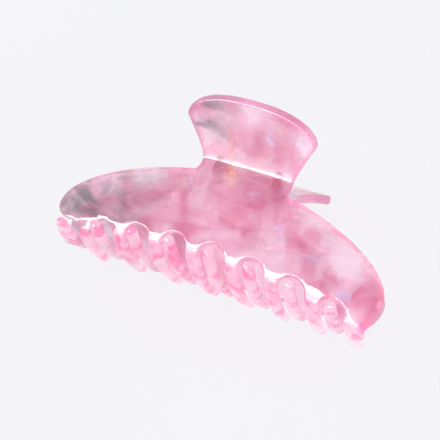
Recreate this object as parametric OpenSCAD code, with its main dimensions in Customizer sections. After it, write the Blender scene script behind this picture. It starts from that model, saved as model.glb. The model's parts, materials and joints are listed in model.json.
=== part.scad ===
// Claw hair clip: two curved plastic jaws with interlocking teeth, hinged on a steel pin
// between the necks of their handles and held shut by a torsion spring.
//
// Each jaw is designed upright. x runs along the hinge, y across the clip from the front
// jaw to the back jaw, z from the teeth up to the handles. The hinge axis is the x axis.
// At the end the clip is laid on its back, the way it rests on a table: on the tip of the
// back handle and on the teeth of the front jaw, which poke out between the back jaw's.

/* [Jaw plate] */
// Half of the clip's length, along the hinge
half_length = 52; // [48:0.5:56]
// Thickness of the moulded plate and of the teeth
wall = 2.8; // [2.4:0.1:3]
// Radius of the long bow of each jaw, seen from above
bow_r = 127; // [115:1:140]
// Distance from the hinge axis to the outer face of the neck
neck_y = 7.9; // [7.5:0.1:8.5]
// How fast the plate bellies out below the neck
belly_slope = 0.53; // [0.45:0.01:0.6]
// How fast the belly straightens again, per millimetre
belly_fade = 0.006; // [0.004:0.001:0.008]
// Depth below the hinge at which the plate starts to turn in towards the teeth
turn_depth = 20; // [16:1:24]
// How fast it turns in, per millimetre
turn_rate = 0.03; // [0.02:0.005:0.04]
// Depth of the widest point of each jaw below the hinge
end_depth = 26.9; // [25:0.1:29]

/* [Handle] */
// Half width of the neck, where the handle starts
neck_half_w = 14.6; // [13:0.1:16]
// Half width of the handle's flared end
handle_half_w = 20.5; // [18:0.5:22]
// Height of the handle's corners above the hinge
corner_h = 7.6; // [7:0.1:8.5]
// Height of the middle of the handle's end above the hinge
handle_h = 11.4; // [10.5:0.1:12.5]
// Distance from the hinge axis to the outer face of the handle's end
handle_y = 27.7; // [26:0.1:29]

/* [Teeth] */
// Distance from tooth to tooth
pitch = 12.1; // [11.8:0.1:12.3]
// Number of teeth on a jaw, with the larger one that ends it
teeth = 8; // [7:1:8]
// Width of a tooth at the plate
tooth_w = 4.2; // [3.6:0.1:4.6]
// Width of a tooth at its tip
tip_w = 2.8; // [2.4:0.1:3.2]
// Extra width of the last tooth, the jaw's pointed corner
corner_extra_w = 2.4; // [0:0.1:2.4]
// Radius of a tooth's long curve
tooth_r = 61; // [50:1:75]
// Depth of a middle tooth's lowest point below the hinge, at mid thickness
tooth_depth = 33.6; // [33:0.1:35]
// How much deeper the teeth hang 40 mm from the middle
tooth_arch = 2.3; // [1.5:0.1:3]
// Depth of the plate's lower edge below the hinge, at the middle
edge_depth = 31.2; // [30.5:0.1:32]
// How much deeper that edge lies 40 mm from the middle
edge_arch = 2.6; // [2:0.1:3]
// How far the tips reach past the hinge plane, at the middle
tip_reach = 20.3; // [19:0.1:21.5]
// Outer radius of the bend from the plate into a tooth
bend_r = 4.5; // [3.8:0.1:5]

/* [Hinge] */
// Radius of the steel pin
pin_r = 1.2; // [1:0.05:1.4]
// Radial play of the pin in the knuckles
pin_play = 0.04; // [0.02:0.01:0.08]
// Radius of the knuckles
knuckle_r = 3.3; // [3:0.1:3.6]
// Half length of the hinge over the outer knuckles
hinge_half = 10.6; // [10:0.1:11.5]
// Thickness of each outer knuckle
lug_w = 2; // [1.6:0.1:2.4]
// Side play between neighbouring knuckles
side_play = 0.4; // [0.3:0.05:0.5]
// Length of the back jaw's knuckle
barrel_w = 10.8; // [9:0.1:11]
// Thickness of the pin's two heads
head_t = 0.7; // [0.5:0.1:0.9]
// Radius of the pin's two heads
head_r = 1.9; // [1.6:0.1:2.2]

/* [Spring] */
// Radius of the spring wire
wire_r = 0.55; // [0.45:0.05:0.6]
// Radius of the coil, to the middle of the wire
coil_r = 2.3; // [2.1:0.05:2.5]
// Whole turns of the coil, before the last half turn
turns = 3; // [2:1:3]
// Height on the handle where the spring's legs press
leg_h = 5.5; // [4:0.5:7]
// Length of the straight part of a leg beside the coil
leg_rise = 4.6; // [4:0.1:5]

/* [Hidden] */
$fn = 96;
jaw_colour = [0.95, 0.55, 0.72];
other_jaw_colour = [0.98, 0.68, 0.8];
ease = 1.2;             // half the height over which the neck's bend is rounded
side_power = 1.41;      // hollow of the handle's sides
flare_power = 1.29;     // hollow of the handle's outer face
top_power = 0.78;       // fullness of the handle's end
shoulder_power = 1.27;  // fullness of the jaw's long upper edge, along x
shoulder_start = -5;    // where that edge's curve would start, along x
shoulder_depth = 1.4;   // and its depth below the hinge there
arch_span = 40;         // the arches are stated this far from the middle
bend_steps = 6;          // flats round a tooth's bend
curve_steps = 12;        // flats along a tooth's long curve
tip_steps = 8;           // flats round a tooth's tip
notch_r = (pitch - tooth_w) / 2;
first_tooth_x = -pitch * (teeth / 2 - 0.75);
plate_bottom = edge_depth + edge_arch * pow(half_length / arch_span, 2);

// ---- the plate's outer face: its distance from the hinge plane at height z ----
function belly(d) = neck_y + belly_slope * d - belly_fade * d * d
    - turn_rate * pow(max(0, d - turn_depth), 2);
function flare(h) = neck_y + (handle_y - neck_y) * pow(h / handle_h, flare_power);
function face(z) = z > 0 ? flare(z) : belly(-z);
function eased_face(z) = (face(z - ease) + 2 * face(z) + face(z + ease)) / 4;
function face_slope(z) = (eased_face(z + 0.1) - eased_face(z - 0.1)) / 0.2;
// a point [radius about the bow's axis, z] on the face or, at depth t, inside the plate
function plate_point(z, t) =
    let (s = face_slope(z), n = sqrt(1 + s * s))
    [bow_r + eased_face(z) - t / n, z + t * s / n];
// where the bow of radius bow_r + out stands, at x along the hinge
function bowed(out, x) = sqrt(pow(bow_r + out, 2) - x * x) - bow_r;
function arched(depth, arch, x) = -depth - arch * pow(x / arch_span, 2);

// ---- a tooth's outline in its own upright plane at x: [y, z] points ----
function tooth_x(k) = first_tooth_x + k * pitch;
function tooth_base(x) = bowed(eased_face(arched(edge_depth, edge_arch, x)), x);
function tooth_tip(x) = bowed(tip_reach, x);
// centre of the long curve, halfway between base and tip
function curve_centre(x) =
    [(tooth_tip(x) - tooth_base(x)) / 2, arched(tooth_depth, tooth_arch, x) + tooth_r];
function tip_centre(x) =
    let (c = curve_centre(x), a = asin((tooth_tip(x) - wall / 2 - c.x) / tooth_r))
    c + tooth_r * [sin(a), -cos(a)];
// centre of the bend, which touches the long curve from inside
function bend_centre(x) =
    let (c = curve_centre(x), y = bend_r - tooth_base(x), reach = tooth_r + wall / 2 - bend_r)
    [y, c.y - sqrt(reach * reach - pow(y - c.x, 2))];

// ---- the jaw seen from the front ----
// the rim at the handle's end is square to the plate, so its inner edge stands higher
handle_rim = plate_point(handle_h, wall) - [bow_r, 0];
crown_h = handle_rim.y + 0.4;
function top_edge() = [for (a = [90:-9:0])
    [handle_half_w * pow(cos(a), top_power), corner_h + (crown_h - corner_h) * sin(a)]];
function handle_side() = [for (s = [0.75:-0.25:0])
    [neck_half_w + (handle_half_w - neck_half_w) * pow(s, side_power), corner_h * s]];
shoulder_len = half_length - shoulder_start;
shoulder_from = asin(pow((neck_half_w - shoulder_start) / shoulder_len, 1 / shoulder_power));
function shoulder() = [for (i = [0:10])
    let (a = shoulder_from + (90 - shoulder_from) * i / 10)
    [shoulder_start + shoulder_len * pow(sin(a), shoulder_power),
     -end_depth + (end_depth - shoulder_depth) * cos(a)]];
function lower_corner(drop, inset) = [for (a = [0:22.5:90])
    [half_length - inset * (1 - cos(a)), -end_depth - drop * sin(a)]];
function lower_edge(from, to) = [for (i = [0:8])
    let (x = from + (to - from) * i / 8) [x, arched(edge_depth, edge_arch, x)]];
function mirrored(points) = [for (i = [len(points) - 1:-1:0]) [-points[i].x, points[i].y]];

half_outline = concat(top_edge(), handle_side(), shoulder());
last_x = tooth_x(teeth - 1);
last_w = tooth_w + corner_extra_w;
// the end with the last tooth runs down to it; the other end stops above the gap it leaves
tooth_end = lower_corner(-arched(edge_depth, edge_arch, last_x) - end_depth,
    half_length - last_x - last_w / 2);
gap_end = lower_corner(-arched(edge_depth, edge_arch, last_x) - notch_r - end_depth,
    half_length - last_x);

module outline() {
    difference() {
        polygon(concat(half_outline, tooth_end, lower_edge(last_x, -last_x),
            mirrored(gap_end), mirrored(half_outline)));
        for (k = [0:teeth - 1]) {
            x = tooth_x(k - 0.5);
            translate([x, arched(edge_depth, edge_arch, x)]) circle(r = notch_r);
        }
    }
}

// the plate's section, swept round the bow's upright axis
module plate() {
    zs = concat([for (z = [-plate_bottom - 3:2.5:-5]) z], [for (z = [-3:1:3]) z],
        [for (z = [4.4:1.4:handle_h]) z], [handle_h]);
    section = concat([for (z = zs) plate_point(z, 0)],
        [for (i = [len(zs) - 1:-1:0]) plate_point(zs[i], wall)]);
    sweep = 2 * asin((half_length + 2) / bow_r);
    intersection() {
        translate([0, bow_r, 0]) rotate([0, 0, -90 - sweep / 2])
            rotate_extrude(angle = sweep) polygon(section);
        rotate([90, 0, 0]) linear_extrude(handle_y + 5) outline();
    }
}

// points on an arc round c; the first is left out when another stretch has already given it
function arc(c, r, from, to, steps, skip = 0) = [for (i = [skip:steps])
    let (a = from + (to - from) * i / steps) c + r * [cos(a), sin(a)]];

// a tooth from the side: it bends out of the plate, sweeps across in one long curve and
// ends in a round tip
module tooth_side(x) {
    long_c = curve_centre(x);
    bend_c = bend_centre(x);
    tip_c = tip_centre(x);
    join = bend_c - long_c;
    tip = tip_c - long_c;
    join_a = atan2(join.y, join.x);
    tip_a = atan2(tip.y, tip.x);
    outer_r = tooth_r + wall / 2;
    root = [wall / 2 - tooth_base(x), bend_c.y + wall / 2];
    polygon(concat([root - [wall / 2, 0]], arc(bend_c, bend_r, -180, join_a, bend_steps),
        arc(long_c, outer_r, join_a, tip_a, curve_steps, 1),
        arc(tip_c, wall / 2, tip_a, tip_a + 180, tip_steps, 1),
        arc(long_c, outer_r - wall, tip_a, join_a, curve_steps, 1),
        arc(bend_c, bend_r - wall, join_a, -180, bend_steps, 1), [root + [wall / 2, 0]]));
}

// a tooth seen from above: it narrows towards a tip with cut corners
module tooth_plan(x, width) {
    root = -tooth_base(x) - 1;
    tip = tooth_tip(x);
    half = [[width / 2, root], [tip_w / 2, tip - tip_w / 2], [tip_w / 4, tip + tip_w / 4]];
    polygon(concat(half, mirrored(half)));
}

module tooth(k) {
    x = tooth_x(k);
    width = k == teeth - 1 ? last_w : tooth_w;
    bottom = arched(tooth_depth, tooth_arch, x) - wall;
    translate([x, 0, 0]) intersection() {
        rotate([90, 0, 90]) linear_extrude(width + 1, center = true) tooth_side(x);
        translate([0, 0, bottom]) linear_extrude(4 * bend_r) tooth_plan(x, width);
    }
}

// a hinge knuckle from x = from to x = to, with its web to the neck of the front jaw
module knuckle(from, to) {
    translate([from, 0, 0]) rotate([90, 0, 90]) linear_extrude(to - from) {
        circle(r = knuckle_r);
        translate([wall / 2 - neck_y, -knuckle_r])
            square([neck_y - wall / 2, 2 * knuckle_r]);
    }
}

module pin_hole() {
    rotate([0, 90, 0]) cylinder(r = pin_r + pin_play, h = 3 * hinge_half, center = true);
}

// one jaw, with the knuckles handed to it, in the front jaw's place
module jaw() {
    difference() {
        union() {
            plate();
            for (k = [0:teeth - 1]) tooth(k);
            children();
        }
        pin_hole();
    }
}

// ---- the spring: leg, coil and leg as one wire, swept along its middle line ----
spring_mid_x = -(side_play + barrel_w) / 2;
coil_pitch = 2 * wire_r + 0.05;
coil_sweep = 180 + 360 * turns;
coil_len = coil_pitch * coil_sweep / 360;
wire_sides = 8;
leg_clear = 0.15;       // gap between the legs and the handles' inner faces
function leg_end() =
    let (p = plate_point(leg_h, wall), s = face_slope(leg_h), n = sqrt(1 + s * s))
    [p.x - bow_r - (wire_r + leg_clear) / n, p.y + (wire_r + leg_clear) * s / n];
function bend(a, b, c) = [for (t = [0:0.25:1])
    (1 - t) * (1 - t) * a + 2 * t * (1 - t) * b + t * t * c];
function leg(side, x) =
    let (end = [x, side * leg_end().x, leg_end().y], turn = [x, side * coil_r, leg_rise],
        out = (end - turn) / norm(end - turn))
    concat(bend(turn - [0, 0, 1.2], turn, turn + 1.2 * out), [end]);
function coil() = [for (a = [0:18:coil_sweep])
    [spring_mid_x + coil_len * (a / coil_sweep - 0.5),
     coil_r * cos(180 + a), coil_r * sin(180 + a)]];
function reversed(points) = [for (i = [len(points) - 1:-1:0]) points[i]];
function wire() = concat(reversed(leg(-1, spring_mid_x - coil_len / 2)), coil(),
    leg(1, spring_mid_x + coil_len / 2));
function ring(points, i) =
    let (a = points[max(0, i - 1)], b = points[min(len(points) - 1, i + 1)],
        along = (b - a) / norm(b - a), across = cross(along, [1, 0, 0]),
        u = across / norm(across), v = cross(along, u))
    [for (j = [0:wire_sides - 1])
        let (w = 360 * j / wire_sides) points[i] + wire_r * (cos(w) * u + sin(w) * v)];

module swept_wire(points) {
    rings = len(points);
    n = wire_sides;
    polyhedron(
        [for (i = [0:rings - 1]) each ring(points, i)],
        concat(
            [[for (j = [n - 1:-1:0]) j]],
            [for (i = [0:rings - 2], j = [0:n - 1])
                [i * n + j, i * n + (j + 1) % n, (i + 1) * n + (j + 1) % n, (i + 1) * n + j]],
            [[for (j = [0:n - 1]) (rings - 1) * n + j]]));
}

// ---- lying on its back: the back handle's tip and the front teeth's tips touch down ----
rest_tip = tip_centre(tooth_x(teeth / 2 - 1));
handle_end = [eased_face(handle_h), handle_h];
rest_run = handle_end - rest_tip;
tilt = atan2(rest_run.x, rest_run.y) - asin(wall / 2 / norm(rest_run));
axis_h = handle_end.x * cos(tilt) - handle_end.y * sin(tilt);
// how far the clip reaches along the table, seen from the hinge axis
function tooth_floor(x) = let (c = curve_centre(x))
    c.y * cos(tilt) - c.x * sin(tilt) - tooth_r - wall / 2;
reach_up = handle_rim.y * cos(tilt) + handle_rim.x * sin(tilt);
reach_down = min([for (k = [0:teeth - 1]) tooth_floor(tooth_x(k))]);
middle_y = (reach_up + reach_down) / 2;

module laid_down() {
    translate([0, -middle_y, axis_h]) rotate([tilt - 90, 0, 0]) children();
}

module back_jaw() {
    color(jaw_colour) laid_down() rotate([0, 0, 180]) jaw()
        knuckle(-(hinge_half - lug_w - side_play), -(hinge_half - lug_w - side_play - barrel_w));
}

module front_jaw() {
    color(other_jaw_colour) laid_down() jaw() {
        knuckle(-hinge_half, lug_w - hinge_half);
        knuckle(hinge_half - lug_w, hinge_half);
    }
}

module hinge_pin() {
    color("silver") laid_down() rotate([0, 90, 0]) {
        cylinder(r = pin_r, h = 2 * hinge_half + 2 * side_play, center = true);
        for (end = [0, 1]) mirror([0, 0, end])
            translate([0, 0, hinge_half + side_play / 2]) cylinder(r1 = head_r, r2 = pin_r, h = head_t);
    }
}

module torsion_spring() {
    color("goldenrod") laid_down() swept_wire(wire());
}

back_jaw();
front_jaw();
hinge_pin();
torsion_spring();
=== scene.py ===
"""A translucent pink claw hair clip lying on its back on a pale table.

The two jaws are built here as smooth bowed sheets with rounded rims, in the place of the plain
CAD jaws. Their shape is worked out flat first, the way a strip of acetate is cut: x runs along
the hinge and s runs down the sheet, from the handle's end over the neck and the belly to the tip
of each tooth. Lengths are in millimetres until a mesh is made.
"""

import json
import math

import bmesh
import bpy
import numpy as np
from mathutils import Matrix, Vector
from mathutils.geometry import delaunay_2d_cdt


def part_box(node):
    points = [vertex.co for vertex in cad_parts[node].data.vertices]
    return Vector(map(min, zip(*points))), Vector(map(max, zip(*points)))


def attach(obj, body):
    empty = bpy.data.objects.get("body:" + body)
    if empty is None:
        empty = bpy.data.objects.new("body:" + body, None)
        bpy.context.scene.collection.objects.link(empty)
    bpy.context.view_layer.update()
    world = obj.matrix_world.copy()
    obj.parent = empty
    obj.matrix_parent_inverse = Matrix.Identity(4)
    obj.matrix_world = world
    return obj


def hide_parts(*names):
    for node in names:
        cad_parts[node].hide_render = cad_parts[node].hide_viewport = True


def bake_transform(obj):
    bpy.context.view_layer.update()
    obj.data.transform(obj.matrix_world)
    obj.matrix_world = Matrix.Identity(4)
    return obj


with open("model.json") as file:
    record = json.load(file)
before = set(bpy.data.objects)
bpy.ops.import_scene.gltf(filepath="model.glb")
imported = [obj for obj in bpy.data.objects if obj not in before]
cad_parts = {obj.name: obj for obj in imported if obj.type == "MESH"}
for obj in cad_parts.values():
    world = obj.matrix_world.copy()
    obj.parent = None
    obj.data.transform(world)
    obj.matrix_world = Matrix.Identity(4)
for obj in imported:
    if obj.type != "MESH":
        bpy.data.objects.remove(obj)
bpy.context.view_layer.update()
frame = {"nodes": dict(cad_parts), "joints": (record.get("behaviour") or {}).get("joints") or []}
MM = 0.001

# ---- the plate, with the CAD's sizes ----
HALF_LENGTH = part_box("front_jaw")[1].x / MM
WALL = 2.8
BOW_R = 127.0           # radius of the long bow, seen from above
NECK_Y = 7.9            # from the hinge plane to the neck's outer face
BELLY_SLOPE = 0.53      # how fast the plate bellies out below the neck
BELLY_FADE = 0.006      # how fast it straightens again, per millimetre
TURN_DEPTH = 20.0       # how far below the hinge it starts to turn in
TURN_RATE = 0.03        # how fast it turns in, per millimetre
END_DEPTH = 26.9        # how far below the hinge the jaw is widest
SHOULDER_POWER = 1.27   # fullness of the long upper edge
SHOULDER_START = -5.0   # where that edge's curve would start, along x
SHOULDER_DEPTH = 1.4    # and its depth below the hinge there
EDGE_DEPTH = 31.2       # depth of the lower edge below the hinge, at the middle
EDGE_ARCH = 2.6         # how much deeper it lies ARCH_SPAN from the middle
ARCH_SPAN = 40.0

# ---- the handle, with the CAD's sizes ----
NECK_HALF_W = 14.6
HANDLE_HALF_W = 20.5
CORNER_H = 7.6
HANDLE_H = 11.4
HANDLE_Y = 27.7
SIDE_POWER = 1.41       # hollow of the sides
FLARE_POWER = 1.29      # hollow of the outer face
TOP_POWER = 0.78        # fullness of the end

# ---- the teeth: rounder than the CAD's, and fuller at their tips ----
PITCH = 12.1
TEETH = 8
FIRST_TOOTH_X = -PITCH * (TEETH / 2 - 0.75)
LAST_TOOTH_X = FIRST_TOOTH_X + (TEETH - 1) * PITCH
TOOTH_W = 4.2
TIP_W = 3.4
TOOTH_TAPER = 2.2       # a tooth keeps its width and narrows late
TOOTH_R = 62.4          # radius of a tooth's long curve, at its outer face
TIP_REACH = 20.3        # how far the tips reach past the hinge plane, at the middle
BEND_R = 4.6            # radius of the bend from the plate into a tooth
BEND_START = 1.3        # the bend starts this far above the plate's lower edge
BEND_ARCH = 0.3         # but nearer to it towards the ends
BEAK_HALF_W = (3.4, 3.6)    # the last tooth's inner and outer half at the plate
BEAK_TIP_R = 1.6
CORNER_POWER = 1.7      # fullness of the corner above the last tooth
BACK_GAP_END = (50.4, -21.0)    # x and height where the back jaw's toothless end rounds off

# ---- the hinge and the spring, with the CAD's sizes ----
BORE_R = 1.24
KNUCKLE_R = 3.3
HINGE_HALF = 10.6
LUG_W = 2.0
BARREL = (-8.2, 2.6)    # the back jaw's knuckle, along that jaw's own x
KNUCKLE_EDGE = 0.35     # the knuckles' edges are eased by this much
WIRE_R = 0.55
COIL_R = 2.3
COIL_PITCH = 1.15
COIL_TURNS = 3.5
SPRING_X = -5.6
LEG_RISE = 4.6          # straight part of a leg beside the coil
LEG_BEND = 1.2          # run of the bend that follows, on either side of its corner
LEG_H = 5.5             # height on the handle where a leg presses
LEG_CLEAR = 0.15

# ---- rims and mesh fineness ----
PLATE_RIM = 0.75        # radius of the plate's rounded rim
TOOTH_RIM = 1.38        # and of a tooth's, which is nearly round
RIM_CHANGE = 5.0        # the rim changes from one to the other along this much of a tooth
RIM_FLAT = 0.22         # half height of the flat left on the rim
RIM_ANGLES = (22, 40, 57, 73, 90)   # where the rows of points round the rim stand
RIM_GAP = 0.45          # the grid keeps this far inside the last of these rows
EDGE_STEP = 0.5         # from point to point along the outline
GRID_STEP = 1.1         # from row to row of the grid inside it
FINE_STEP = 0.5         # and where the sheet bends sharply
GRID_RATIO = 1.15       # from point to point along a row, in steps
NECK_BEND = 3.0         # half the run of the neck's bend
TEETH_BEND = (2.5, 6.0)     # run of the teeth's bends above and below the plate's lower edge
TABLE_HEIGHTS = (HANDLE_H + 2.5, -46.0)     # past both ends of the sheet
TABLE_STEP = 0.05
EASE_STEPS = 20         # the plate's bends are eased over about this many steps

# ---- the clip's place: its hinge axis and how far it leans back as it lies ----
HINGE = Vector(frame["joints"][0]["pos_m"])
TILT = 9.84
LEAN = math.radians(TILT - 90)
LAID_DOWN = Matrix.Translation(HINGE) @ Matrix.Rotation(LEAN, 4, "X") @ Matrix.Scale(MM, 4)
TURNED = Matrix.Rotation(math.pi, 4, "Z")


# ---- the sheet's form ----
def smooth_table():
    """Height z, outward distance and run s of the plate's outer face, from the handle down."""
    z = np.arange(*TABLE_HEIGHTS, -TABLE_STEP)
    d = np.clip(-z, 0, None)
    flare = NECK_Y + (HANDLE_Y - NECK_Y) * (np.clip(z, 0, None) / HANDLE_H) ** FLARE_POWER
    belly = NECK_Y + BELLY_SLOPE * d - BELLY_FADE * d * d
    belly -= TURN_RATE * np.clip(d - TURN_DEPTH, 0, None) ** 2
    out = np.where(z > 0, flare, belly)
    reach = 3 * EASE_STEPS
    bell = np.exp(-0.5 * (np.arange(-reach, reach + 1) / EASE_STEPS) ** 2)
    padded = np.pad(out, reach, mode="reflect", reflect_type="odd")
    out = np.convolve(padded, bell / bell.sum(), mode="valid")
    run = np.concatenate([[0], np.cumsum(np.hypot(np.diff(z), np.diff(out)))])
    return z, out, run - np.interp(0, -z, run)


Z_TABLE, OUT_TABLE, S_TABLE = smooth_table()


def run_at(z):
    """The run s at height z; it is 0 at the neck."""
    return np.interp(-np.asarray(z, float), -Z_TABLE, S_TABLE)


def bowed(out, x):
    """How far a bow that stands out that much at the middle stands out at x."""
    return np.sqrt((BOW_R + out) ** 2 - x * x) - BOW_R


def edge_z(x):
    """Height of the plate's lower edge at x."""
    return -EDGE_DEPTH - EDGE_ARCH * (x / ARCH_SPAN) ** 2


def tooth_arcs(x):
    """A tooth's outer face at x, as two arcs: run, y and z where the bend starts, y and z where
    the long curve takes over, the two directions there, and the run from bend to tip."""
    s0 = run_at(edge_z(x) + BEND_START - BEND_ARCH * (x / ARCH_SPAN) ** 2)
    z0 = np.interp(s0, S_TABLE, Z_TABLE)
    y0 = -bowed(np.interp(s0, S_TABLE, OUT_TABLE), x)
    ds = 0.2
    dy = -(np.interp(s0 + ds, S_TABLE, OUT_TABLE) - np.interp(s0 - ds, S_TABLE, OUT_TABLE))
    dz = np.interp(s0 + ds, S_TABLE, Z_TABLE) - np.interp(s0 - ds, S_TABLE, Z_TABLE)
    a0 = np.arctan2(dy, -dz)
    tip = bowed(TIP_REACH, x)
    mid = (tip + y0) / 2
    # the long curve is lowest at mid: a few rounds from a rough guess find where it starts
    a1 = np.full_like(a0, 1.3)
    for _ in range(4):
        y1 = y0 + BEND_R * (np.cos(a0) - np.cos(a1))
        a1 = math.pi / 2 - np.arcsin((mid - y1) / TOOTH_R)
    z1 = z0 - BEND_R * (np.sin(a1) - np.sin(a0))
    a2 = np.arccos(np.cos(a1) - (tip - y1) / TOOTH_R)
    length = BEND_R * (a1 - a0) + TOOTH_R * (a2 - a1)
    return s0, y0, z0, y1, z1, a0, a1, length


def outer_point(x, s):
    """The front jaw's outer face at x and s, upright, in millimetres."""
    s0, y0, z0, y1, z1, a0, a1, _ = tooth_arcs(x)
    plate = np.stack([x, -bowed(np.interp(s, S_TABLE, OUT_TABLE), x),
                      np.interp(s, S_TABLE, Z_TABLE)], -1)
    past = s - s0
    bend_len = BEND_R * (a1 - a0)
    a = a0 + past / BEND_R
    bend = np.stack([x, y0 + BEND_R * (np.cos(a0) - np.cos(a)),
                     z0 - BEND_R * (np.sin(a) - np.sin(a0))], -1)
    a = a1 + (past - bend_len) / TOOTH_R
    curve = np.stack([x, y1 + TOOTH_R * (np.cos(a1) - np.cos(a)),
                      z1 - TOOTH_R * (np.sin(a) - np.sin(a1))], -1)
    past = past[..., None]
    return np.where(past < 0, plate, np.where(past < bend_len[..., None], bend, curve))


def sheet_point(x, s, n):
    """A point n millimetres outside the sheet's middle."""
    e = 0.04
    across = outer_point(x + e, s) - outer_point(x - e, s)
    down = outer_point(x, s + e) - outer_point(x, s - e)
    out = np.cross(down, across)
    out /= np.linalg.norm(out, axis=-1, keepdims=True)
    return outer_point(x, s) + (np.asarray(n)[..., None] - WALL / 2) * out


# ---- the flat outline ----
def upper_half():
    """From the middle of the handle's end round its corner and along the shoulder, as [x, z]."""
    a = np.radians(np.linspace(90, 0, 40))
    top = np.stack([HANDLE_HALF_W * np.cos(a) ** TOP_POWER,
                    CORNER_H + (HANDLE_H - CORNER_H) * np.sin(a)], -1)
    t = np.linspace(0.95, 0, 12)
    side = np.stack([NECK_HALF_W + (HANDLE_HALF_W - NECK_HALF_W) * t ** SIDE_POWER,
                     CORNER_H * t], -1)
    length = HALF_LENGTH - SHOULDER_START
    start = math.asin(((NECK_HALF_W - SHOULDER_START) / length) ** (1 / SHOULDER_POWER))
    a = np.linspace(start, math.pi / 2, 60)
    shoulder = np.stack([SHOULDER_START + length * np.sin(a) ** SHOULDER_POWER,
                         -END_DEPTH + (END_DEPTH - SHOULDER_DEPTH) * np.cos(a)], -1)
    return np.concatenate([top, side, shoulder])


def tooth_outline(k):
    """Down tooth k's right side, round its tip and up its left side, as [x, s]."""
    x = FIRST_TOOTH_X + k * PITCH
    top = float(run_at(edge_z(x)))
    bend_s, *_, length = tooth_arcs(np.array([x]))
    beak = k == TEETH - 1
    tip_r = BEAK_TIP_R if beak else TIP_W / 2
    straight = float(bend_s[0] + length[0]) - tip_r
    t = np.linspace(0, 1, 40)
    left_w, right_w = BEAK_HALF_W if beak else (TOOTH_W / 2, TOOTH_W / 2)
    taper = 1 - t if beak else 1 - t ** TOOTH_TAPER
    s = top + (straight - top) * t
    right = np.stack([x + tip_r + (right_w - tip_r) * taper, s], -1)
    left = np.stack([x - tip_r - (left_w - tip_r) * taper, s], -1)[::-1]
    a = np.radians(np.linspace(10, 170, 12))
    tip = np.stack([x + tip_r * np.cos(a), straight + tip_r * np.sin(a)], -1)
    return np.concatenate([right, tip, left])


def notch_outline(k):
    """The arch between tooth k and the next one to its left."""
    x = FIRST_TOOTH_X + (k - 0.5) * PITCH
    r = (PITCH - TOOTH_W) / 2
    a = np.radians(np.linspace(8, 172, 20))
    return np.stack([x + r * np.cos(a), run_at(edge_z(x)) - r * np.sin(a)], -1)


def beak_corner():
    """From the widest point of the jaw down to the outer side of the last tooth."""
    a = np.radians(np.linspace(8, 82, 10))
    start = float(run_at(-END_DEPTH))
    drop = float(run_at(edge_z(LAST_TOOTH_X))) - start
    inset = HALF_LENGTH - LAST_TOOTH_X - BEAK_HALF_W[1]
    return np.stack([HALF_LENGTH - inset * (1 - np.cos(a) ** CORNER_POWER),
                     start + drop * np.sin(a) ** CORNER_POWER], -1)


def gap_corner(gap_end):
    """Up the half arch beside the first tooth and round the end that has no tooth."""
    arch = notch_outline(0)
    half = len(arch) // 2
    a = np.radians(np.linspace(8, 82, 10))
    start = float(run_at(gap_end[1]))
    low = float(arch[half, 1]) - start
    end = np.stack([-LAST_TOOTH_X - (gap_end[0] - LAST_TOOTH_X) * np.sin(a),
                    start + low * np.cos(a)], -1)
    return np.concatenate([arch[:half], end])


def even(points, step):
    """The closed outline resampled at even steps, with its corners eased."""
    closed = np.concatenate([points, points[:1]])
    length = np.concatenate([[0], np.cumsum(np.linalg.norm(np.diff(closed, axis=0), axis=1))])
    at = np.linspace(0, length[-1], int(length[-1] / step), endpoint=False)
    out = np.stack([np.interp(at, length, closed[:, i]) for i in (0, 1)], -1)
    for _ in range(3):
        out = (np.roll(out, 1, 0) + 2 * out + np.roll(out, -1, 0)) / 4
    return out


def flat_outline(gap_end):
    """The whole outline as [x, s]; gap_end is where the end without a tooth rounds off."""
    upper = upper_half()
    left = upper[upper[:, 1] > gap_end[1]]
    left = np.stack([-left[:, 0], run_at(left[:, 1])], -1)[::-1]
    upper[:, 1] = run_at(upper[:, 1])
    parts = [upper, beak_corner()]
    for k in range(TEETH - 1, -1, -1):
        parts.append(tooth_outline(k))
        parts.append(notch_outline(k) if k else gap_corner(gap_end))
    parts.append(left[:-1])
    return even(np.concatenate(parts), EDGE_STEP)


# ---- the flat mesh ----
def inside(points, loop):
    """Which points lie inside the closed loop."""
    a, b = loop, np.roll(loop, -1, 0)
    px, py = points[:, :1], points[:, 1:]
    crosses = (a[:, 1] > py) != (b[:, 1] > py)
    with np.errstate(divide="ignore", invalid="ignore"):
        at = a[:, 0] + (py - a[:, 1]) * (b[:, 0] - a[:, 0]) / (b[:, 1] - a[:, 1])
    return (np.sum(crosses & (px < at), axis=1) % 2) == 1


def edge_distance(points, loop):
    """Each point's distance from the loop's segments, in small batches."""
    a, b = loop, np.roll(loop, -1, 0)
    ab = b - a
    out = []
    for chunk in np.array_split(points, max(1, len(points) // 500)):
        ap = chunk[:, None] - a
        t = np.clip((ap * ab).sum(-1) / (ab * ab).sum(-1), 0, 1)
        out.append(np.linalg.norm(ap - t[..., None] * ab, axis=-1).min(1))
    return np.concatenate(out)


def rim_radius(x, s):
    """The plate's rim is crisper than the teeth's; between them it changes smoothly."""
    t = np.clip((s - run_at(edge_z(x))) / RIM_CHANGE, 0, 1)
    return PLATE_RIM + (TOOTH_RIM - PLATE_RIM) * t * t * (3 - 2 * t)


def rim_rows(loop):
    """Rows of points inside the loop, which turn into the rounded rim. In a narrow hollow the
    rows would cross, so only points that keep their distance from the whole loop stay."""
    tangent = np.roll(loop, -1, 0) - np.roll(loop, 1, 0)
    tangent /= np.linalg.norm(tangent, axis=1, keepdims=True)
    inward = np.stack([-tangent[:, 1], tangent[:, 0]], -1)
    if not inside(loop[:1] + 0.2 * inward[:1], loop)[0]:
        inward = -inward
    radius = rim_radius(loop[:, 0], loop[:, 1])
    share, slack = 0.985, 0.01
    rows = []
    for angle in RIM_ANGLES:
        d = radius * (1 - math.cos(math.radians(angle)))
        row = loop + inward * d[:, None]
        rows.append(row[edge_distance(row, loop) > d * share - slack])
    return rows


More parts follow.
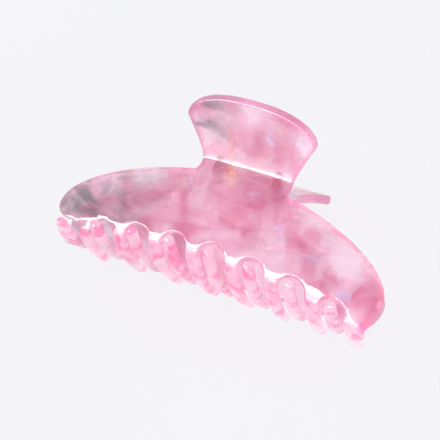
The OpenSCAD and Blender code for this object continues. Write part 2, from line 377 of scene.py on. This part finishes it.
def grid_points(loop):
    """Staggered rows of points within the rim, closer together where the sheet bends."""
    bend = (float(run_at(edge_z(0))) - TEETH_BEND[0],
            float(run_at(edge_z(HALF_LENGTH))) + TEETH_BEND[1])
    stops = (loop[:, 1].min(), -NECK_BEND, NECK_BEND, *bend, loop[:, 1].max())
    grid = []
    for i, (low, high) in enumerate(zip(stops, stops[1:])):
        step = FINE_STEP if i % 2 else GRID_STEP
        gx, gs = np.meshgrid(np.arange(-HALF_LENGTH, HALF_LENGTH, step * GRID_RATIO),
                             np.arange(low, high, step))
        gx[1::2] += step * GRID_RATIO / 2
        grid.append(np.stack([gx.ravel(), gs.ravel()], -1))
    grid = np.concatenate(grid)
    grid = grid[inside(grid, loop)]
    return grid[edge_distance(grid, loop) > rim_radius(grid[:, 0], grid[:, 1]) + RIM_GAP]


def flat_mesh(gap_end):
    """The flat sheet's points, their distances from the rim, its triangles, and the numbers of
    the points that run round the rim."""
    loop = flat_outline(gap_end)
    points = np.concatenate([loop] + rim_rows(loop) + [grid_points(loop)])
    count = len(loop)
    edges = [(i, (i + 1) % count) for i in range(count)]
    verts, _, faces, ids, _, _ = delaunay_2d_cdt(
        [Vector(p) for p in points], edges, [], 1, 1e-5, True)
    verts = np.array([v[:] for v in verts])
    place = {old: new for new, olds in enumerate(ids) for old in olds}
    rim = [place[i] for i in range(count)]
    faces = [f for f in faces if len(set(f)) == 3]
    middles = np.array([verts[list(f)].mean(0) for f in faces])
    faces = [f for f, keep in zip(faces, inside(middles, loop)) if keep]
    dist = edge_distance(verts, loop)
    dist[rim] = 0
    return verts, dist, faces, rim


# ---- the pieces ----
def add_object(name, data):
    thing = bpy.data.objects.new(name, data)
    bpy.context.scene.collection.objects.link(thing)
    return thing


def knuckle(x0, x1):
    """A hinge knuckle with its web to the neck: vertices and faces, upright."""
    steps = 72
    a = np.arange(steps) * 2 * math.pi / steps
    toward = np.cos(a)
    into_plate = NECK_Y - 1.0
    web = np.minimum(into_plate / np.maximum(toward, 1e-6),
                     KNUCKLE_R / np.maximum(np.abs(np.sin(a)), 1e-6))
    rho = np.where(toward > 0, np.maximum(web, KNUCKLE_R), KNUCKLE_R)
    bm = bmesh.new()
    rings = []
    for x in (x0, x1):
        for r in (np.full(steps, BORE_R), rho):
            rings.append([bm.verts.new((x, -r[i] * toward[i], r[i] * math.sin(a[i])))
                          for i in range(steps)])
    for one, two in ((0, 1), (1, 3), (3, 2), (2, 0)):
        for i in range(steps):
            j = (i + 1) % steps
            bm.faces.new((rings[one][i], rings[one][j], rings[two][j], rings[two][i]))
    bmesh.ops.recalc_face_normals(bm, faces=bm.faces)
    sharp = [e for e in bm.edges if e.calc_face_angle(0) > math.radians(50)]
    bmesh.ops.bevel(bm, geom=sharp, offset=KNUCKLE_EDGE, segments=3, profile=0.5, affect="EDGES")
    bmesh.ops.triangulate(bm, faces=[f for f in bm.faces if len(f.verts) > 4])
    bm.verts.index_update()
    verts = np.array([v.co[:] for v in bm.verts])
    faces = [tuple(v.index for v in f.verts) for f in bm.faces]
    bm.free()
    return verts, faces


def jaw(name, place, gap_end, knuckles):
    """One jaw as a closed sheet with a rounded rim, and its knuckles."""
    flat, dist, tris, rim = flat_mesh(gap_end)
    x, s = flat[:, 0], flat[:, 1]
    t = np.clip(dist / rim_radius(x, s), 0, 1)
    half = RIM_FLAT + (WALL / 2 - RIM_FLAT) * np.sqrt(1 - (1 - t) ** 2)
    count = len(flat)
    verts = [sheet_point(x, s, half), sheet_point(x, s, -half)]
    faces = [tuple(f) for f in tris] + [tuple(i + count for i in f[::-1]) for f in tris]
    for a, b in zip(rim, rim[1:] + rim[:1]):
        faces.append((b, a, a + count, b + count))
    sheet = [np.stack([x, s, dist], -1)] * 2
    total = 2 * count
    no_rim = 3.0
    for x0, x1 in knuckles:
        more, its_faces = knuckle(x0, x1)
        verts.append(more)
        faces += [tuple(i + total for i in f) for f in its_faces]
        sheet.append(np.stack([more[:, 0], more[:, 1], np.full(len(more), no_rim)], -1))
        total += len(more)
    mesh = bpy.data.meshes.new(name)
    mesh.from_pydata(np.concatenate(verts).tolist(), [], faces)
    mesh.transform(place)
    mesh.attributes.new("sheet", "FLOAT_VECTOR", "POINT").data.foreach_set(
        "vector", np.concatenate(sheet).astype(np.float32).ravel())
    bm = bmesh.new()
    bm.from_mesh(mesh)
    bmesh.ops.recalc_face_normals(bm, faces=bm.faces)
    bm.to_mesh(mesh)
    bm.free()
    mesh.shade_smooth()
    return add_object(name, mesh)


def leg_end():
    """Where a leg presses on the handle's inner face, as [y, z] on the back jaw's side."""
    x, s = np.array([SPRING_X]), run_at([LEG_H])
    at = sheet_point(x, s, np.array([-WALL / 2]))[0]
    off = at - outer_point(x, s)[0]
    at = at + off / np.linalg.norm(off) * (WIRE_R + LEG_CLEAR)
    return -at[1], at[2]


def spring_path():
    """The spring's middle line, from the front leg round the coil to the back leg."""
    length = COIL_PITCH * COIL_TURNS
    end_y, end_z = leg_end()
    legs = []
    for side in (-1, 1):
        x = SPRING_X + side * length / 2
        turn = np.array([x, side * COIL_R, LEG_RISE])
        end = np.array([x, side * end_y, end_z])
        out = (end - turn) / np.linalg.norm(end - turn)
        a, c = turn - [0, 0, LEG_BEND], turn + LEG_BEND * out
        t = np.linspace(0, 1, 9)[:, None]
        bend = (1 - t) ** 2 * a + 2 * t * (1 - t) * turn + t * t * c
        rest = c + (end - c) * np.linspace(0.15, 1, 8)[:, None]
        legs.append(np.concatenate([bend, rest]))
    a = np.radians(np.arange(0, 360 * COIL_TURNS + 1, 9))
    coil = np.stack([SPRING_X + length * (a / a[-1] - 0.5),
                     COIL_R * np.cos(math.pi + a), COIL_R * np.sin(math.pi + a)], -1)
    return np.concatenate([legs[0][::-1], coil, legs[1]])


def wire(name, path, radius, sides=14):
    """A round wire swept along a path, with rounded ends."""
    tangent = np.gradient(path, axis=0)
    tangent /= np.linalg.norm(tangent, axis=1, keepdims=True)
    u = np.cross(tangent, [1.0, 0, 0])
    u /= np.linalg.norm(u, axis=1, keepdims=True)
    v = np.cross(tangent, u)
    ends = np.radians([75, 45, 20])
    path = np.concatenate([[path[0] - radius * math.sin(a) * tangent[0] for a in ends], path,
                           [path[-1] + radius * math.sin(a) * tangent[-1] for a in ends[::-1]]])
    radii = np.concatenate([np.cos(ends), np.ones(len(tangent)), np.cos(ends[::-1])]) * radius
    u = np.concatenate([np.repeat(u[:1], 3, 0), u, np.repeat(u[-1:], 3, 0)])
    v = np.concatenate([np.repeat(v[:1], 3, 0), v, np.repeat(v[-1:], 3, 0)])
    w = np.arange(sides) * 2 * math.pi / sides
    rings = path[:, None] + radii[:, None, None] * (
        np.cos(w)[None, :, None] * u[:, None] + np.sin(w)[None, :, None] * v[:, None])
    faces = [tuple(range(sides))[::-1]]
    for i in range(len(path) - 1):
        for j in range(sides):
            k = (j + 1) % sides
            faces.append((i * sides + j, i * sides + k, (i + 1) * sides + k, (i + 1) * sides + j))
    faces.append(tuple(range((len(path) - 1) * sides, len(path) * sides)))
    mesh = bpy.data.meshes.new(name)
    mesh.from_pydata(rings.reshape(-1, 3).tolist(), [], faces)
    mesh.transform(LAID_DOWN)
    mesh.shade_smooth()
    return add_object(name, mesh)


# ---- materials ----
DEEP_PINK = (0.68, 0.17, 0.34)
PINK = (0.82, 0.36, 0.52)
PALE_PINK = (0.90, 0.57, 0.70)
PEARL = (0.94, 0.84, 0.92)
# colour of the painted lilac highlights
PAINTED_GLINT_LILAC = (0.74, 0.70, 0.99)
TOOTH_PINK = (0.99, 0.78, 0.87)
HOT_PINK = (0.97, 0.13, 0.45)
HANDLE_RIM = (0.88, 0.22, 0.50)
BODY_RIM = (0.98, 0.46, 0.62)
# colour of the painted dark reflections
PAINTED_REFLECTION_GREY = (0.13, 0.10, 0.12)
# colour of the teeth's painted glow
TOOTH_PAINTED_GLOW = (1.0, 0.64, 0.80)
GOLD = (0.98, 0.74, 0.38)
STEEL = (0.72, 0.70, 0.68)


class Nodes:
    """Short calls for building a material's node tree."""

    def __init__(self, name):
        self.material = bpy.data.materials.new(name)
        self.material.use_nodes = True
        self.tree = self.material.node_tree
        self.shader = self.tree.nodes["Principled BSDF"]

    def add(self, kind, **values):
        """A node with these properties or, where it has none of that name, input values."""
        node = self.tree.nodes.new(kind)
        for key, value in values.items():
            if hasattr(node, key):
                setattr(node, key, value)
            else:
                node.inputs[key].default_value = value
        return node

    def link(self, out, socket):
        self.tree.links.new(out, socket)

    def shade(self, **sockets):
        """Set or link the shader's sockets; _ stands for a space in their names."""
        for key, value in sockets.items():
            self.feed(value, self.shader.inputs[key.replace("_", " ")])

    def feed(self, value, socket):
        """Link another node's output to a socket, or set it to a number or a colour."""
        if isinstance(value, bpy.types.NodeSocket):
            self.link(value, socket)
        else:
            socket.default_value = (*value, 1) if isinstance(value, tuple) else value

    def noise(self, coords, scale, detail=2.0, roughness=0.5, distortion=0.0):
        node = self.add("ShaderNodeTexNoise", Scale=scale, Detail=detail, Roughness=roughness,
                        Distortion=distortion)
        self.link(coords, node.inputs["Vector"])
        return node.outputs["Fac"]

    def ramp(self, value, *stops):
        """A colour for each value, between stops of (value, colour)."""
        node = self.add("ShaderNodeValToRGB")
        points = node.color_ramp.elements
        while len(points) < len(stops):
            points.new(0.5)
        for point, (at, colour) in zip(points, stops):
            point.position = at
            point.color = (*colour, 1)
        self.link(value, node.inputs["Fac"])
        return node.outputs["Color"]

    def fade(self, value, *stops, span=1):
        """A number for each value from 0 to span, between stops of (value, number). With a
        negative span it reads the value's opposite."""
        if span != 1:
            value = self.math("MULTIPLY", value, 1 / span)
        return self.ramp(value, *((at / abs(span), (number,) * 3) for at, number in stops))

    def mix(self, fac, a, b):
        node = self.add("ShaderNodeMix", data_type="RGBA")
        for socket, value in ((node.inputs[0], fac), (node.inputs[6], a), (node.inputs[7], b)):
            self.feed(value, socket)
        return node.outputs[2]

    def math(self, operation, *values):
        node = self.add("ShaderNodeMath", operation=operation)
        for socket, value in zip(node.inputs, values):
            self.feed(value, socket)
        return node.outputs[0]


def clouded(m, at, clouds):
    """Clouds from deep to pearly pink, with flakes of pearl and small painted lilac highlights."""
    tint = m.ramp(clouds, (0.32, DEEP_PINK), (0.46, PINK), (0.58, PALE_PINK), (0.72, PEARL))
    wander = m.add("ShaderNodeTexNoise", Scale=0.12, Detail=2.0)
    stretch = m.add("ShaderNodeVectorMath", operation="SCALE", Scale=7.0)
    warp = m.add("ShaderNodeVectorMath", operation="ADD")
    flakes = m.add("ShaderNodeTexVoronoi", feature="SMOOTH_F1", Scale=0.11, Smoothness=0.35)
    m.link(at, wander.inputs["Vector"])
    m.link(wander.outputs["Color"], stretch.inputs[0])
    m.link(at, warp.inputs[0])
    m.link(stretch.outputs[0], warp.inputs[1])
    m.link(warp.outputs[0], flakes.inputs["Vector"])
    tint = m.mix(m.fade(flakes.outputs["Color"], (0.55, 0.0), (0.8, 0.75)), tint, PEARL)
    # painted highlights: lilac spots where this noise peaks
    lilac_highlights = m.fade(m.noise(at, 0.16, 1, 0.4, 0.5), (0.66, 0.0), (0.74, 0.8))
    return m.mix(lilac_highlights, tint, PAINTED_GLINT_LILAC)


def flecked(m, tint, at, on_teeth):
    """The teeth are paler, with hot pink flecks."""
    paler = m.mix(m.math("MULTIPLY", on_teeth, 0.8), tint, TOOTH_PINK)
    flecks = m.fade(m.noise(at, 0.22, 1, 0.4, 0.3), (0.52, 0.0), (0.60, 1.0))
    return m.mix(m.math("MULTIPLY", flecks, on_teeth), paler, HOT_PINK)


def painted_dark_reflections(m, tint, at, x, s, on_teeth, side):
    """Painted dark reflections, in patches, at one end of the body and in that corner of the
    handle.
    """
    at_end = m.fade(x, (16, 0.0), (42, 1.0), span=100 * side)
    at_corner = m.math("MULTIPLY", m.fade(x, (2, 0.0), (14, 1.0), span=100 * side),
                       m.fade(s, (4, 0.0), (9, 1.0), span=-10))
    patches = m.fade(m.noise(at, 0.10, 2, 0.5, 1.6), (0.42, 0.15), (0.52, 0.6), (0.60, 1.0))
    on_plate = m.math("SUBTRACT", 0.95, m.math("MULTIPLY", on_teeth, 0.95))
    where = m.math("MAXIMUM", at_end, at_corner)
    reflection_mask = m.math("MULTIPLY", m.math("MULTIPLY", where, patches), on_plate)
    return m.mix(reflection_mask, tint, PAINTED_REFLECTION_GREY)


def rimmed(m, tint, s, rim, on_teeth):
    """The cut rim glows deeper, less so on the teeth."""
    glow = m.fade(rim, (0.0, 0.85), (0.9, 0.45), (1.6, 0.0), span=10)
    on_plate = m.math("SUBTRACT", 1.0, m.math("MULTIPLY", on_teeth, 0.75))
    on_body = m.fade(s, (0.0, 0.0), (8, 1.0), span=10)
    return m.mix(m.math("MULTIPLY", glow, on_plate), tint, m.mix(on_body, HANDLE_RIM, BODY_RIM))


def acetate(name, offset, reflection_side):
    """Translucent pink sheet with pearly clouds, flecked teeth, painted dark reflections at one
    end and a deeper rim.

    The "sheet" attribute holds each point's x and s on the flat sheet and its distance from the
    rim, so that the marbling runs through the sheet; offset picks the part of the pattern."""
    m = Nodes(name)
    sheet = m.add("ShaderNodeAttribute", attribute_name="sheet").outputs["Vector"]
    parts = m.add("ShaderNodeSeparateXYZ")
    m.link(sheet, parts.inputs[0])
    x, s, rim = parts.outputs
    mapping = m.add("ShaderNodeMapping", Location=offset, Scale=(1, 1, 0))
    m.link(sheet, mapping.inputs["Vector"])
    at = mapping.outputs["Vector"]
    clouds = m.noise(at, 0.075, 3, 0.55, 0.8)
    on_teeth = m.fade(s, (30, 0.0), (36, 1.0), span=100)
    tint = clouded(m, at, clouds)
    tint = flecked(m, tint, at, on_teeth)
    # painted dark reflections at one end of the body and in that corner of the handle
    tint = painted_dark_reflections(m, tint, at, x, s, on_teeth, reflection_side)
    tint = rimmed(m, tint, s, rim, on_teeth)
    # the sheet is clearest round the hinge, and a faint painted glow stands in for light gathering
    # in the thin teeth
    from_hinge = m.add("ShaderNodeVectorMath", operation="DISTANCE")
    from_hinge.inputs[1].default_value = (0, 3, 3)
    m.link(sheet, from_hinge.inputs[0])
    m.shade(Base_Color=tint,
            Transmission_Weight=m.fade(clouds, (0.32, 0.75), (0.72, 0.5)),
            Alpha=m.fade(from_hinge.outputs["Value"], (4, 0.5), (15, 0.75), span=20),
            Emission_Color=TOOTH_PAINTED_GLOW, Emission_Strength=m.math("MULTIPLY", on_teeth, 0.055),
            Roughness=0.04, IOR=1.47)
    return m.material


def polished_metal(name, colour, roughness):
    """Drawn wire or rod, with fine marks and faint uneven polish."""
    m = Nodes(name)
    coords = m.add("ShaderNodeTexCoord").outputs["Object"]
    wear = m.noise(coords, 900, 4, 0.6)
    darker = tuple(c * 0.72 for c in colour)
    bump = m.add("ShaderNodeBump", Strength=0.15, Distance=0.00005)
    m.link(wear, bump.inputs["Height"])
    m.shade(Base_Color=m.mix(wear, darker, colour),
            Roughness=m.fade(wear, (0.3, roughness * 0.7), (0.7, roughness * 1.5)),
            Normal=bump.outputs["Normal"], Metallic=1.0)
    return m.material


def table_top():
    """A pale table that also glows, like a light table, so that shadows stay faint."""
    m = Nodes("pale_table")
    coords = m.add("ShaderNodeTexCoord").outputs["Object"]
    tint = m.ramp(m.noise(coords, 6, 2), (0.3, (0.10, 0.10, 0.11)), (0.7, (0.12, 0.12, 0.13)))
    m.shade(Base_Color=tint, Roughness=1.0, Specular_IOR_Level=0.0,
            Emission_Color=(1, 1, 1.02), Emission_Strength=0.805)
    return m.material


# ---- the room: camera, floor and soft light, in metres ----
CAM_AZIMUTH = math.radians(35.4)
CAM_ELEVATION = math.radians(55.4)
CAM_ROLL = math.radians(13.0)
CAM_DISTANCE = 0.3112
CAM_TARGET = Vector((-0.0052, -0.0024, 0.0203))
LENS = 84.2
FLOOR_HALF = 3.0
SKY_STRENGTH = 0.95
STRIP_X = -0.42
STRIP_DISTANCE = 0.5
STRIP_LENGTH = 1.3
# each strip's lower and upper edge, in degrees above the table, and its radiance
STRIPS = ((42, 56, 30.0), (22, 40, 18.0), (8, 16, 6.0))


def add_camera():
    right = Vector((math.cos(CAM_AZIMUTH), math.sin(CAM_AZIMUTH), 0))
    towards = Vector((math.sin(CAM_AZIMUTH) * math.cos(CAM_ELEVATION),
                      -math.cos(CAM_AZIMUTH) * math.cos(CAM_ELEVATION), math.sin(CAM_ELEVATION)))
    up = towards.cross(right)
    axes = Matrix((right, up, towards)).transposed() @ Matrix.Rotation(-CAM_ROLL, 3, "Z")
    data = bpy.data.cameras.new("camera")
    data.lens = LENS
    data.sensor_width = 36
    data.clip_start = 0.01
    camera = add_object("camera", data)
    at = CAM_TARGET + CAM_DISTANCE * towards
    camera.matrix_world = Matrix.Translation(at) @ axes.to_4x4()
    bpy.context.scene.camera = camera


def add_floor():
    mesh = bpy.data.meshes.new("floor")
    corners = ((-1, -1), (1, -1), (1, 1), (-1, 1))
    mesh.from_pydata([(FLOOR_HALF * x, FLOOR_HALF * y, 0) for x, y in corners], [], [(0, 1, 2, 3)])
    mesh.materials.append(table_top())
    add_object("floor", mesh)


def add_strip(low, high, radiance):
    """A long softbox in front of the clip, facing +y, which is seen in reflections alone."""
    bottom, top = (STRIP_DISTANCE * math.tan(math.radians(a)) for a in (low, high))
    data = bpy.data.lights.new("strip", "AREA")
    data.shape = "RECTANGLE"
    data.size = STRIP_LENGTH
    data.size_y = top - bottom
    data.energy = radiance * math.pi * STRIP_LENGTH * (top - bottom)
    light = add_object("strip", data)
    light.location = (STRIP_X, -STRIP_DISTANCE, (bottom + top) / 2)
    light.rotation_euler = (math.pi / 2, 0, 0)
    light.visible_diffuse = False
    light.visible_transmission = False


def add_sky():
    world = bpy.data.worlds.new("studio")
    world.use_nodes = True
    sky = world.node_tree.nodes["Background"]
    sky.inputs["Color"].default_value = (1, 1, 1, 1)
    sky.inputs["Strength"].default_value = SKY_STRENGTH
    bpy.context.scene.world = world
    bpy.context.scene.view_settings.view_transform = "Standard"


# ---- everything together ----
front = jaw("front_jaw_sheet", LAID_DOWN, (HALF_LENGTH, -END_DEPTH),
            [(-HINGE_HALF, LUG_W - HINGE_HALF), (HINGE_HALF - LUG_W, HINGE_HALF)])
front.data.materials.append(acetate("front_acetate", (3.0, 11.0, 0), -1))
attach(front, "front")
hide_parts("front_jaw")

back = jaw("back_jaw_sheet", LAID_DOWN @ TURNED, BACK_GAP_END, [BARREL])
back.data.materials.append(acetate("back_acetate", (57.0, 31.0, 0), 1))
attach(back, "back")
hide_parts("back_jaw")

spring = wire("spring_wire", spring_path(), WIRE_R)
spring.data.materials.append(polished_metal("gold_wire", GOLD, 0.25))
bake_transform(spring)
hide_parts("torsion_spring")

steel = polished_metal("pin_steel", STEEL, 0.3)
for slot in frame["nodes"]["hinge_pin"].material_slots:
    slot.material = steel

add_camera()
add_sky()
add_floor()
for strip in STRIPS:
    add_strip(*strip)
